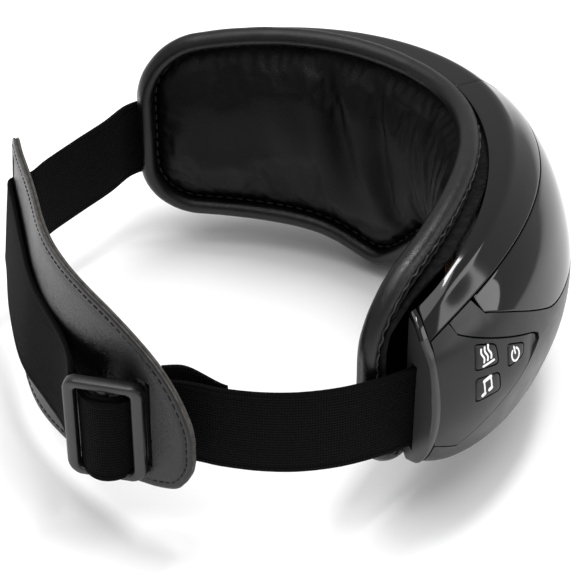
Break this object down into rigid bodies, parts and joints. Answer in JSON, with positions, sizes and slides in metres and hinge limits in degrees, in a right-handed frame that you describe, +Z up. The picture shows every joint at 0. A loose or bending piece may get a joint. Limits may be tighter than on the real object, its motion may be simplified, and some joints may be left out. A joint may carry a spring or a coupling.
{
  "type": "eye massager mask",
  "caption": "Curved eye massager worn over the eyes, with a padded leather cushion, push buttons on its side, and an elastic head strap with a leather head pad and sliding buckle.",
  "frame": {"origin": "centre of the bounding box's base, on the surface the mask stands on", "axes": "+Z up, the wearer faces -Y, the head strap is on the +Y side, the buttons are on the -X side (the wearer's right)"},
  "size_m": [0.183, 0.1748, 0.0864],
  "materials": {
    "gloss": "glossy black moulded plastic",
    "visor": "mirror-gloss black plastic",
    "satin": "satin black moulded plastic",
    "frame": "matte black plastic",
    "leather": "soft black synthetic leather",
    "piping": "black synthetic leather, tightly rolled",
    "textile": "black woven textile with a bound edge",
    "webbing": "black ribbed elastic webbing",
    "pad": "smooth black synthetic leather, stitched edge",
    "buckle": "matte black plastic",
    "board": "green coated circuit board",
    "cell": "blue shrink wrap",
    "steel": "bare steel",
    "copper": "amber heating film",
    "bladder": "grey air bladder film",
    "rubber": "pale silicone tube"
  },
  "bodies": {
    "mask": {"top_cover_right": "gloss", "top_cover_left": "gloss", "front_visor": "visor", "front_shell": "satin", "control_panel_right": "satin", "side_panel_left": "satin", "end_cap_right": "gloss", "end_cap_left": "gloss", "strap_pin_right": "steel", "strap_pin_left": "steel", "face_cushion": "leather", "cushion_piping": "piping", "cushion_skirt": "textile", "heating_film": "copper", "airbag_right": "bladder", "airbag_left": "bladder", "rear_frame": "frame", "strap_right": "webbing", "strap_left": "webbing", "main_pcb": "board", "battery": "cell", "air_pump_motor": "steel", "air_pump_head": "frame", "valve_body": "frame", "air_tube": "rubber", "vibration_motor_right": "steel", "vibration_motor_left": "steel", "speaker_right": "frame", "speaker_left": "frame", "button_pcb": "board", "switch_heat": "frame", "switch_music": "frame", "switch_power": "frame", "frame_screw_1": "steel", "frame_screw_2": "steel", "frame_screw_3": "steel", "frame_screw_4": "steel"},
    "heat_button": {"heat_button": "satin"},
    "music_button": {"music_button": "satin"},
    "power_button": {"power_button": "satin"},
    "motor_weight_right": {"motor_weight_right": "steel"},
    "motor_weight_left": {"motor_weight_left": "steel"},
    "pump_crank": {"pump_crank": "frame"},
    "valve_plunger": {"valve_plunger": "steel"},
    "strap_pad": {"head_pad": "pad", "outer_webbing": "webbing", "strap_tail": "webbing"},
    "buckle": {"adjuster_buckle": "buckle", "buckle_webbing_loop": "webbing"}
  },
  "joints": [
    {"name": "heat_press", "type": "slide", "parent": "mask", "child": "heat_button", "axis": [0.8019, 0.4818, -0.3533], "range_m": [0, 0.0008], "stiffness_N_per_m": 900, "springref_m": -0.0004},
    {"name": "music_press", "type": "slide", "parent": "mask", "child": "music_button", "axis": [0.8432, 0.4974, -0.2039], "range_m": [0, 0.0008], "stiffness_N_per_m": 900, "springref_m": -0.0004},
    {"name": "power_press", "type": "slide", "parent": "mask", "child": "power_button", "axis": [0.7989, 0.5557, -0.2301], "range_m": [0, 0.0008], "stiffness_N_per_m": 900, "springref_m": -0.0004},
    {"name": "weight_right_spin", "type": "hinge", "parent": "mask", "child": "motor_weight_right", "pos_m": [-0.05358, -0.04701, 0.024], "axis": [0.6929, -0.721, 0], "continuous": true},
    {"name": "weight_left_spin", "type": "hinge", "parent": "mask", "child": "motor_weight_left", "pos_m": [0.05358, -0.04701, 0.024], "axis": [0.6929, 0.721, 0], "continuous": true},
    {"name": "pump_crank_spin", "type": "hinge", "parent": "mask", "child": "pump_crank", "pos_m": [-0.03824, -0.06046, 0.042], "axis": [0.7873, -0.6165, 0], "continuous": true},
    {"name": "valve_press", "type": "slide", "parent": "mask", "child": "valve_plunger", "axis": [0, 0, -1], "range_m": [0, 0.001], "stiffness_N_per_m": 300, "springref_m": -0.0004},
    {"name": "strap_stretch", "type": "slide", "parent": "mask", "child": "strap_pad", "axis": [0, 1, 0], "range_m": [0, 0.03], "stiffness_N_per_m": 60, "deforming": ["strap_right", "strap_left"]},
    {"name": "buckle_slide", "type": "slide", "parent": "strap_pad", "child": "buckle", "axis": [-0.639, -0.7692, 0], "range_m": [-0.004, 0]}
  ]
}
